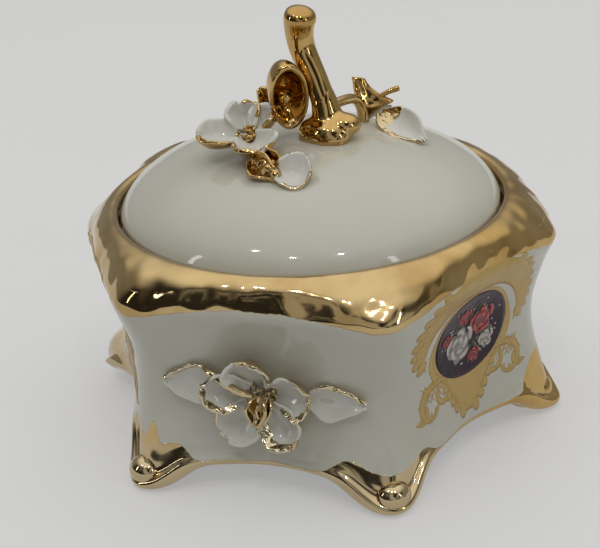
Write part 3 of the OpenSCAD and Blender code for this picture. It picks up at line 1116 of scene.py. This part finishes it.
sleeve_girth = [1.5, 1.24, 1.02, 0.84]
root = [
    tube("sleeve", stem_path[:4], [stem_r * girth for girth in sleeve_girth]),
    lump(on_dome(10.6, 0.4, 4), 4.2, (1.5, 1.1, 0.9)),
    lump(on_dome(7.2, -2, 0.8), 5.4, (1.3, 1, 1)),
    lump(on_dome(2.4, -0.6, 0.8), 4.8, (1, 1, 1.1)),
    lump(on_dome(8.8, -0.8, 2.8), 4.2),
]
root = crumpled(joined(root), depth=0.4, grain_mm=6)
root = melted(root, skin_voxel, rounds=45)
root.name = "handle_base_gilded"
settle(root, "lid", "gilding", "handle_base")
print("stem faces", len(stem.data.polygons), "root faces", len(root.data.polygons))

# %% [markdown]
# A gilded trumpet flower and a small leaf lean on the left of the stem. The trumpet is one outline that
# runs from its back out to the lip and into the hollow. Its rings are ovals, because the flower was
# squeezed by hand, and a pearl of clay sits in the hollow.

# %% Trumpet and lobe
trumpet_half_w = 6
trumpet_half_h = 11
trumpet_depth = 9
bell_sides = 28
pearl_r = 2.2
pearl_low = 2.6
trumpet_at = Vector((-3.6, -3, dome_top + 13))
trumpet_faces = Vector((0.56, -0.82, -0.24)).normalized()
trumpet_across = Vector((-0.12, 0, 1)).cross(trumpet_faces).normalized()
trumpet_upward = trumpet_faces.cross(trumpet_across)
bell = [
    (0.4, -1.05), (0.76, -0.9), (0.97, -0.5), (1.02, -0.14), (1.02, 0.02), (0.95, 0.1), (0.84, 0.07),
    (0.75, -0.06), (0.65, -0.34), (0.46, -0.6), (0.2, -0.7),
]


def bell_ring(ring, turn):
    spread, depth = ring
    across = trumpet_across * (trumpet_half_w * spread * math.cos(turn))
    upward = trumpet_upward * (trumpet_half_h * spread * math.sin(turn))
    return trumpet_at + across + upward + trumpet_faces * (trumpet_depth * depth)


trumpet = tower("handle_trumpet_gilded", bell_sides, bell, bell_ring)
pearl = lump(trumpet_at - trumpet_faces * (trumpet_depth * 0.5) - trumpet_upward * pearl_low, pearl_r)
trumpet = joined([trumpet, pearl])
settle(trumpet, "lid", "gilding", "handle_trumpet")

lobe = blade("handle_lobe_gilded", "leaf", size=(12.8, 9), curve=(1.2, -0.8, 0.4), wave=0.02, seed=21)
lobe_ends = points((-6, 2.5, dome_top + 4.5), (-13.4, 0, dome_top + 14))
lobe.data.transform(aim(*lobe_ends, facing=(0.2, -1, 0.3)))
settle(all_gold(lobe), "lid", "gilding", "handle_lobe")
print("trumpet faces", len(trumpet.data.polygons))

# %% [markdown]
# An open flower of four petals leans forward on the left of the lid. Its petals are blades like those on
# the faces, a little thicker. Gilded crumbs lie in its heart, a stalk stands below it, and a few crumbs are
# spilt in front.

# %% Open flower on the lid
lid_petal_dirs = [48, 110, 198, 306]
lid_petal_tilts = [30, 34, 16, 14]
lid_petal_sizes = [(8, 8.4), (8.4, 9), (11.6, 12), (11.8, 12.6)]
lid_petal_rims = [(-0.3, -0.6), (-0.3, -0.6), (-0.5, 1.2), (-0.6, -1.0)]
lid_petal_curve = (2.0, -0.6, 2.8)
lid_petal_t = 1.5
lid_petal_start = 2.4
lid_petal_lift = 1.6
lid_heap_lift = 1
lid_flower_at = on_dome(-14.4, -12.4, 4.6)
lean_forward = turned(17, "X") @ turned(-4, "Y")
lid_flower = Matrix.Translation(lid_flower_at) @ lean_forward
lid_petals = zip(lid_petal_dirs, lid_petal_tilts, lid_petal_sizes, lid_petal_rims)

for number, (direction, tilt, size, rim) in enumerate(lid_petals, 1):
    node = f"lid_petal_{number}"
    made = {"wave": 0.25, "thick": lid_petal_t, "seed": 30 + number}
    petal = blade(node + "_glazed", "petal", size, lid_petal_curve, rim, **made)
    lean = splayed(direction, tilt, lid_petal_start, lid_petal_lift)
    settle_blade(petal, lid_flower @ lean, "lid", node)

heap = crumbs("lid_stamens_gilded", count=30, spread=3, size=0.6, seed=5)
heap.data.transform(Matrix.Translation((0, 0, lid_heap_lift)))
heap.data.transform(lid_flower)
spill = crumbs("spill", count=14, spread=2.2, size=0.6, seed=6)
spill.data.transform(Matrix.Translation(on_dome(-7.6, -22, 2)))
stalk = melted(lump(lid_flower_at + Vector((0.4, 1, -3.2)), radius=3.4), voxel=0.4, rounds=2)
heap = joined([heap, spill, stalk])
settle(heap, "lid", "gilding", "lid_stamens")
print("lid petal faces", len(petal.data.polygons))

# %% [markdown]
# In front of the flower a gilded calyx holds one rounded petal. The calyx was crushed between two fingers,
# so lumps are melted together and crumpled, and two narrow bracts lie along it.

# %% Calyx and its petal
calyx = [
    lump(on_dome(-10.6, -24, 1.4), 1.4),
    lump(on_dome(-8.4, -25, 2), 2.2),
    lump(on_dome(-6.2, -26.4, 2), 2.8),
    lump(on_dome(-4, -28, 1.4), 2.8),
    lump(on_dome(-2, -30, 0.8), 2.4),
]
calyx = crumpled(melted(joined(calyx), skin_voxel, rounds=2), depth=1.5, grain_mm=6)
bract_ends = [((-10.4, -24.2), (-0.6, -32.2)), ((-9.4, -22.6), (0.4, -28))]
for number, (start, end) in enumerate(bract_ends):
    bract = blade("bract", "leaf", size=(12.4, 6.6), curve=(2.6, -1, 0.6), wave=0.35, seed=51 + number)
    lean = aim(on_dome(*start, lift=3.4), on_dome(*end, lift=2.4), facing=(-0.3, -0.72, 0.62))
    bract.data.transform(lean)
    calyx = joined([calyx, bract])
calyx = all_gold(calyx)
calyx.name = "lid_calyx_gilded"
settle(calyx, "lid", "gilding", "lid_calyx")

front = blade(
    "lid_leaf_front_glazed",
    "petal",
    size=(9.8, 11),
    curve=(0.8, -0.2, 2.2),
    rim=(0.5, -0.7),
    base=0.6,
    wave=0.05,
    seed=41,
)
lean = aim(on_dome(-1, -30, 3.6), on_dome(8.6, -29.6, 3), facing=(0.19, -0.68, 0.71))
settle_blade(front, lean, "lid", "lid_leaf_front")
print("calyx faces", len(calyx.data.polygons))

# %% [markdown]
# On the right a twig comes out of the stem, bends down to the dome and ends in a folded bud. A blade is too
# thin for the bud, so it is built of rings: each gives its share of the height, its reach to the right and
# its thickness, and a fold is pressed into the front.

# %% Twig and bud
bud_root = on_dome(13.6, 19.2, 0.4)
twig_path = [
    Vector((7, 3.6, dome_top + 8.6)),
    Vector((9.4, 11.5, dome_top + 8)),
    Vector((11.4, 17.6, dome_top + 6.8)),
    Vector((12.8, 19.4, dome_top + 3.2)),
    bud_root,
    bud_root - Vector((0, 0, 1.6)),
]
twig = tube("lid_twig_gilded", twig_path, [1.6, 1.7, 1.7, 1.6, 1.8, 1.5], sides=12)
settle(twig, "lid", "gilding", "lid_twig")

bud_up = Vector((-2, 2.5, 12.8))
bud_side = Vector((10.6, 3.3, -1.2)).normalized()
bud_depth = bud_up.normalized().cross(bud_side)
bud_left = 2.2
bud_sides = 24
fold_depth = 0.45
fold_at = 0.3
fold_w = 1.2
point_thin = 0.6
bud_rings = [
    (-0.05, 1.2, 1.0),
    (0.1, 2.2, 1.7),
    (0.24, 4.6, 2.2),
    (0.38, 8.4, 2.2),
    (0.47, 10.8, 1.9),
    (0.56, 7.8, 1.9),
    (0.7, 4.2, 1.9),
    (0.85, 2.4, 1.8),
    (0.97, 2.0, 1.6),
    (1, 1.4, 1.0),
]


def bud_ring(ring, turn):
    """A folded petal: blunt above, drawn out to a point on the right, with a fold down its front."""
    share, reach, thick = ring
    side = math.cos(turn)
    across = reach * side if side > 0 else bud_left * side
    fold = 1 - fold_depth * hump(across - fold_at * reach, fold_w)
    thin = math.sin(turn) * thick * fold * (1 - point_thin * max(side, 0))
    return bud_root + bud_up * share + bud_side * across + bud_depth * thin


bud = crumpled(tower("lid_bud_gilded", bud_sides, bud_rings, bud_ring), depth=0.35, grain_mm=4)
settle(bud, "lid", "gilding", "lid_bud")
print("bud faces", len(bud.data.polygons))

# %% [markdown]
# A thin tendril and two leaves grow beside the bud. The tendril is a tube, and the leaves are blades. The
# larger leaf is gilded over its root as well as along its border.

# %% Tendril and leaves on the lid
tendril_steps = ((3.4, 2.8, 6), (5.6, 3.5, 7.4), (8, 4.2, 8.4), (10.4, 4.9, 9))
tendril_path = [bud_root + Vector(step) for step in tendril_steps]
tendril = tube("lid_tendril_gilded", tendril_path, [0.9, 0.8, 0.9, 1.1], sides=10)
settle(tendril, "lid", "gilding", "lid_tendril")

small = blade(
    "lid_leaf_small_glazed",
    "leaf",
    size=(9.4, 7),
    curve=(0.8, -0.5, 0.8),
    rim=(-0.4, 0.5),
    wave=0.1,
    seed=61,
)
lean = aim(bud_root, bud_root + Vector((8, 2.6, 3.4)), facing=(0.27, -0.8, 0.5))
settle_blade(small, lean, "lid", "lid_leaf_small")
last = blade(
    "lid_leaf_right_glazed",
    "leaf",
    size=(20.5, 11),
    curve=(1.0, -0.6, 1.2),
    rim=(0.4, -1.4),
    base=6,
    wave=0.3,
    seed=62,
)
lean = aim(on_dome(19, 18, 4.4), on_dome(35, 5.4, 2.2), facing=(0.21, -0.74, 0.64))
settle_blade(last, lean, "lid", "lid_leaf_right")
print("tendril faces", len(tendril.data.polygons))

# %% [markdown]
# The other three faces carry a printed medallion in a gold frame of scrolls and leaves. Such a print is a
# transfer: ink and gold on a thin film that is fired onto the glaze, so it has hardly any thickness. Every
# stroke is drawn flat as a narrow strip, projected onto the body, and made as thick as a hair.

# %% Strokes of a transfer print
film_t = 0.1
medallion_half = Vector((15.5, 12.9))
stroke_step = 0.7
fewest_steps = 10
stroke_tip = 0.12
stroke_butt = 0.1
stroke_blunt = 0.8


def way(degrees):
    """A step of one millimetre in a direction."""
    return Vector((math.cos(math.radians(degrees)), math.sin(math.radians(degrees))))


def strip(steps, place, rows=2):
    """A flat strip: place(share along it, side from -1 to 1) says where each of its points goes."""
    piece = grid("strip", steps, rows)
    for vertex in piece.data.vertices:
        x, y = place((vertex.co.x + 1) / 2, vertex.co.y)
        vertex.co = (x, y, 0)
    return piece


def stroke(start, heading, length, turn, width, tight=1.5):
    """A tapered stroke from start along a heading, turning by so many degrees, faster and faster."""
    steps = max(fewest_steps, round(length / stroke_step))
    path = [Vector(start)]
    ways = []
    for i in range(steps + 1):
        ways.append(way(heading + turn * (i / steps) ** tight))
        path.append(path[-1] + ways[-1] * (length / steps))

    def place(u, side):
        i = round(u * steps)
        swell = math.sin(math.pi * min(u * (1 - stroke_butt) + stroke_butt, 1)) ** stroke_blunt
        half = width / 2 * (stroke_tip + (1 - stroke_tip) * swell)
        return path[i] + Vector((-ways[i].y, ways[i].x)) * (half * side)

    return strip(steps, place)


print("medallion", medallion_half.x * 2, "by", medallion_half.y * 2, "mm")

# %% [markdown]
# Bands and rings follow the oval of the medallion, so they are drawn by an angle and a factor of that oval.
# Leaves and dabs of paint are discs. A disc could be a fan of triangles, but these would be too long to
# follow the curve of the face, so a square grid is rounded to a circle.

# %% Bands and dabs
def on_oval(factor, degrees):
    """A point on an oval round the medallion."""
    turn = math.radians(degrees)
    return Vector((medallion_half.x * factor * math.cos(turn), medallion_half.y * factor * math.sin(turn)))


def along(values, u):
    """The value at a share u of the way through a list of values."""
    spot = u * (len(values) - 1)
    k = min(int(spot), len(values) - 2)
    return values[k] + (values[k + 1] - values[k]) * (spot - k)


def oval_band(angles, inner, outer):
    """A band between two curves round the medallion, given as factors of its oval at some angles."""

    def place(u, side):
        factor = along(inner, u) * (1 - side) / 2 + along(outer, u) * (1 + side) / 2
        return on_oval(factor, along(angles, u))

    return strip(steps=60, place=place, rows=8)


def oval_ring(inner, outer):
    """A band all round the medallion."""
    rings = [inner, (inner + outer) / 2, outer]

    def place(factor, turn):
        return on_oval(factor, math.degrees(turn)).to_3d()

    return tower("ring", sides=48, rings=rings, place=place, levels=1, closed=False)


def disc(middle, half_w, half_h, lean=0, cells=6):
    """A flat oval of paint."""
    piece = grid("disc", cells, cells)
    tilt = Matrix.Rotation(math.radians(lean), 2)
    for vertex in piece.data.vertices:
        x, y = vertex.co.xy
        rounded = Vector((half_w * x * math.sqrt(1 - y * y / 2), half_h * y * math.sqrt(1 - x * x / 2)))
        vertex.co = (tilt @ rounded + Vector(middle)).to_3d()
    return piece


print("bands ready")

# %% [markdown]
# The frame is a broad band over the oval with leaves along its edge, a narrow cheek down each side, a leafy
# pendant below, and scrolls with a lattice between them. Each stroke is drawn for the right and again, as
# its mirror image, for the left. Where the halves meet, their points are merged, so that no seam shows. A
# stroke is given by its start, its heading in degrees, its length, how far it turns, its width, and how
# late it turns.

# %% The gold frame
band_turns = (90, 72, 54, 36, 18, 2, -12)
band_outer = (1.70, 1.80, 1.86, 1.84, 1.74, 1.58, 1.34)
band_inner = (1.04, 1.14, 1.21, 1.27, 1.32, 1.35, 1.32)
band_leaves = [0.325 + 0.085 * k for k in range(8)]
band_leaf_in = 0.02
band_leaf_lean = -38
cheek_turns = (16, -10, -40, -70, -90)
cheek_outer = (1.12, 1.23, 1.28, 1.24, 1.2)
cheek_inner = [1.06] * len(cheek_turns)
ring_factors = (1.0, 1.12)
pendant_half = (13, 10, 8.4, 6.6, 4.8, 2)
pendant_top = -10.5
pendant_h = 15
pendant_leaves = [(0.18 + 0.19 * k, -58 - 6 * k) for k in range(5)]
leaf_size = (2.5, 1.5)
weld_mm = 0.01
frame_strokes = [
    (7, -11.5, 22, 31, -300, 2.6, 1.9),
    (14.4, -11.4, -72, 14, -260, 2.0, 1.3),
    (20.5, -14.6, -110, 8, 150, 1.6, 1.2),
]
for k in range(4):
    frame_strokes += [
        (14.6 + 1.9 * k, -8.6, -58, 7, 0, 0.5),
        (16.4 + 1.9 * k, -8.6, -122, 7, 0, 0.5),
        (16 + 2.2 * k, -17 - 0.9 * (k % 2), -100 + 22 * k, 3.2, 60, 1.3),
    ]


def pendant_edge(u):
    return Vector((along(pendant_half, u), pendant_top - pendant_h * u))


def frame_half(sign):
    """The strokes on one side of the frame: sign is 1 for the right and -1 for the left."""

    def mirrored(degrees):
        return degrees if sign > 0 else 180 - degrees

    def leaf(spot, lean):
        return disc((spot.x * sign, spot.y), *leaf_size, lean * sign, cells=4)

    strokes = [
        oval_band([mirrored(turn) for turn in band_turns], band_inner, band_outer),
        oval_band([mirrored(turn) for turn in cheek_turns], cheek_inner, cheek_outer),
    ]
    for u in band_leaves:
        spot = on_oval(along(band_outer, u) - band_leaf_in, along(band_turns, u))
        strokes.append(leaf(spot, along(band_turns, u) + band_leaf_lean))
    for u, lean in pendant_leaves:
        strokes.append(leaf(pendant_edge(u), lean))
    for x, y, heading, length, turn, *form in frame_strokes:
        strokes.append(stroke((x * sign, y), mirrored(heading), length, turn * sign, *form))
    return strokes


frame_flat = joined([
    oval_ring(*ring_factors),
    strip(steps=16, place=lambda u, side: pendant_edge(u) * Vector((side, 1)), rows=10),
    *frame_half(1),
    *frame_half(-1),
])
with editing(frame_flat):
    bpy.ops.mesh.select_all(action="SELECT")
    bpy.ops.mesh.remove_doubles(threshold=weld_mm)
    bpy.ops.mesh.normals_make_consistent(inside=False)
print("faces in the frame", len(frame_flat.data.polygons))

# %% [markdown]
# The picture is in enamel colours. Fired enamel is never even, so each colour wavers between a darker and a
# lighter tone, in fine dabs and broad clouds, and the dark plum ground turns hazy towards the top. The gold
# of the frame is printed, not brushed, so it is duller than the lustre.

# %% Paints
paint_dabs_per_m = 500.0
paint_clouds_per_m = 160.0
paint_cloud_share = 0.6
paint_range = (0.55, 1.0)
paint_rough = 0.16
paint_smear = 0.05
paint_smears_per_m = 200.0
plum_clouds_per_m = 140.0
plum_cloud_rise = 0.016
plum_haze_h = (0.036, 0.052)
plum_dabs_per_m = 420.0
plum_range = (0.35, 0.7)
plum_rough = 0.2
plum_gloss = 0.2
print_dots_per_m = 300.0
print_metal = 0.25
print_rough = 0.3
print_smear = 0.15
print_smears_per_m = 250.0


def paint(name, tones):
    """Enamel paint of uneven strength."""
    material, place, shader = new_finish(name)
    clouds = place.grain(paint_clouds_per_m, 2.0) * paint_cloud_share
    dabs = (place.grain(paint_dabs_per_m, 3.0) + clouds).step(*paint_range)
    smears = place.grain(paint_smears_per_m) * paint_smear
    feed(shader, Base_Color=dabs.between(*tones), Roughness=smears + paint_rough)
    return material


plum, plum_place, plum_shader = new_finish("plum_ground")
plum_h = plum_place.node("ShaderNodeSeparateXYZ", {}, {"Vector": plum_place}, "Z")
plum_clouds = (plum_place.grain(plum_clouds_per_m, 3.0) - 0.5) * plum_cloud_rise
plum_haze = (plum_h + plum_clouds).step(*plum_haze_h)
plum_dabs = plum_place.grain(plum_dabs_per_m, 3.0).step(*plum_range)
plum_low = plum_dabs.between(colour(0.012, 0.008, 0.018), colour(0.05, 0.012, 0.026))
plum_high = plum_dabs.between(colour(0.045, 0.026, 0.05), colour(0.09, 0.042, 0.066))
plum_tone = plum_haze.between(plum_low, plum_high)
feed(plum_shader, Base_Color=plum_tone, Roughness=plum_rough, Specular_IOR_Level=plum_gloss)

rose_dark = paint("rose_red_dark", (colour(0.10, 0.008, 0.014), colour(0.22, 0.016, 0.024)))
rose_red = paint("rose_red", (colour(0.36, 0.025, 0.03), colour(0.54, 0.08, 0.07)))
rose_shade = paint("rose_cream_shade", (colour(0.20, 0.165, 0.16), colour(0.36, 0.32, 0.29)))
rose_cream = paint("rose_cream", (colour(0.48, 0.45, 0.41), colour(0.64, 0.62, 0.57)))
leaf_green = paint("leaf_green", (colour(0.03, 0.036, 0.024), colour(0.08, 0.085, 0.05)))
print_gold, print_place, print_shader = new_finish("printed_gold")
print_tones = (colour(0.57, 0.39, 0.135), colour(0.48, 0.315, 0.095))
feed(
    print_shader,
    Base_Color=print_place.grain(print_dots_per_m, 3.0).between(*print_tones),
    Metallic=print_metal,
    Roughness=print_place.grain(print_smears_per_m) * print_smear + print_rough,
)
enamels = (plum, rose_dark, rose_red, rose_shade, rose_cream, leaf_green)
print("enamels:", [finish.name for finish in enamels])

# %% [markdown]
# Each rose is a few overlapping dabs of paint, darker dabs first and lighter ones on top, as a painter
# would lay them down: a dark round with lobes, and on it crescents that turn in towards the heart in a
# spiral.

# %% Roses
roses = [
    ((-4.6, -2.2), 5.6, rose_shade, rose_cream),
    ((4.8, 2.6), 4.8, rose_dark, rose_red),
    ((-3.4, 6.6), 2.6, rose_dark, rose_red),
    ((7.6, -4.8), 3.0, rose_shade, rose_cream),
    ((2.2, -8.0), 2.4, rose_dark, rose_red),
    ((-11, 1.8), 2.0, rose_dark, rose_red),
]
heart_w = 0.8
heart_h = 0.72
lobe_w = 0.42
lobe_h = 0.34
lobe_out = 0.62
lobe_deg = 60
lobe_first = 20
crescents = 9
crescent_deg = 137
crescent_lead = 80
crescent_bend = 90
crescent_w = 0.3
crescent_out = 0.9
crescent_in_step = 0.085
crescent_shrink = 0.07


def coated(piece, finish):
    piece.data.materials.append(finish)
    return piece


def rose(middle, size, under, over):
    """A dark round of paint, and lighter crescents on it that turn in towards its heart."""
    heart = Vector(middle)
    low = [disc(middle, size * heart_w, size * heart_h)]
    high = []
    for turn in range(0, 360, lobe_deg):
        spot = heart + way(turn + lobe_first) * (size * lobe_out)
        low.append(disc(spot, size * lobe_w, size * lobe_h, turn))
    for k in range(crescents):
        turn = crescent_deg * k
        start = heart + way(turn) * (size * (crescent_out - crescent_in_step * k))
        length = size * (1.0 - crescent_shrink * k)
        high.append(stroke(start, turn + crescent_lead, length, crescent_bend, size * crescent_w))
    return coated(joined(low), under), coated(joined(high), over)


flowers = [rose(*one) for one in roses]
print("roses", len(flowers))

# %% [markdown]
# The medallion holds a posy of cream and red roses on the plum ground, with leaves between them and a few
# pale specks. The layers stay apart, because each lies a little higher on the body than the one below it.

# %% The posy
posy_seed = 8
posy_leaves = 16
posy_leaf_w = 2.0
posy_heart_r = 4
leaf_sway = 8
leaf_bend = 70
leaf_lengths = (5, 8)
speck_count = 26
speck_r = 0.3
speck_zone = (0.55, 0.88)
ground_share = 1.03
posy_draw = random.Random(posy_seed)
leaves = []
for k in range(posy_leaves):
    turn = 360 / posy_leaves * k + posy_draw.uniform(-leaf_sway, leaf_sway)
    length = posy_draw.uniform(*leaf_lengths)
    bend = posy_draw.uniform(-leaf_bend, leaf_bend)
    leaves.append(stroke(way(turn) * posy_heart_r, turn, length, bend, posy_leaf_w))
specks = []
for _ in range(speck_count):
    spot = on_oval(posy_draw.uniform(*speck_zone), posy_draw.uniform(0, 360))
    specks.append(disc(spot, speck_r, speck_r, cells=3))
ground = disc((0, 0), medallion_half.x * ground_share, medallion_half.y * ground_share, cells=28)
posy_layers = [
    coated(ground, plum),
    coated(joined(leaves), leaf_green),
    coated(joined(specks), rose_cream),
    joined([low for low, high in flowers]),
    joined([high for low, high in flowers]),
]
frame_flat = coated(frame_flat, print_gold)
print("posy layers", len(posy_layers))

# %% [markdown]
# The flat drawings are copied for each of the three faces. Shrinkwrap projects a copy straight onto the
# body, a little further out for each layer, and Solidify closes it into a film.

# %% Lay the prints on the faces
print_turns = {"right": -30, "rear": 90, "left": 210}
print_middle = Vector((0.6, 39.3, waist_face_r + 12))
layer_lift = 0.05


def laid(flat, degrees, lift):
    """A copy of a flat drawing, projected onto one face of the body."""
    copy = flat.copy()
    copy.data = flat.data.copy()
    bpy.context.collection.objects.link(copy)
    copy.data.transform(Matrix.Scale(MM, 4))
    copy.matrix_world = upright(degrees) @ Matrix.Translation(print_middle * MM)
    finish_with(
        copy,
        "SHRINKWRAP",
        target=body,
        wrap_method="PROJECT",
        use_project_z=True,
        use_negative_direction=True,
        use_positive_direction=False,
        offset=lift * MM,
    )
    finish_with(copy, "SOLIDIFY", thickness=film_t * MM, offset=0)
    pick(copy)
    bpy.ops.object.transform_apply()
    return copy


for side, degrees in print_turns.items():
    scrolls = laid(frame_flat, degrees, layer_lift)
    scrolls.name = f"medallion_frame_{side}"
    settle(scrolls, "box", "gilding", scale=1)
    layers = [laid(flat, degrees, layer_lift * (number + 1)) for number, flat in enumerate(posy_layers, 1)]
    picture = joined(layers)
    picture.name = f"medallion_picture_{side}"
    settle(picture, "box", "porcelain", scale=1)

pick(frame_flat, *posy_layers)
bpy.ops.object.delete()
print("faces in a medallion", len(picture.data.polygons))
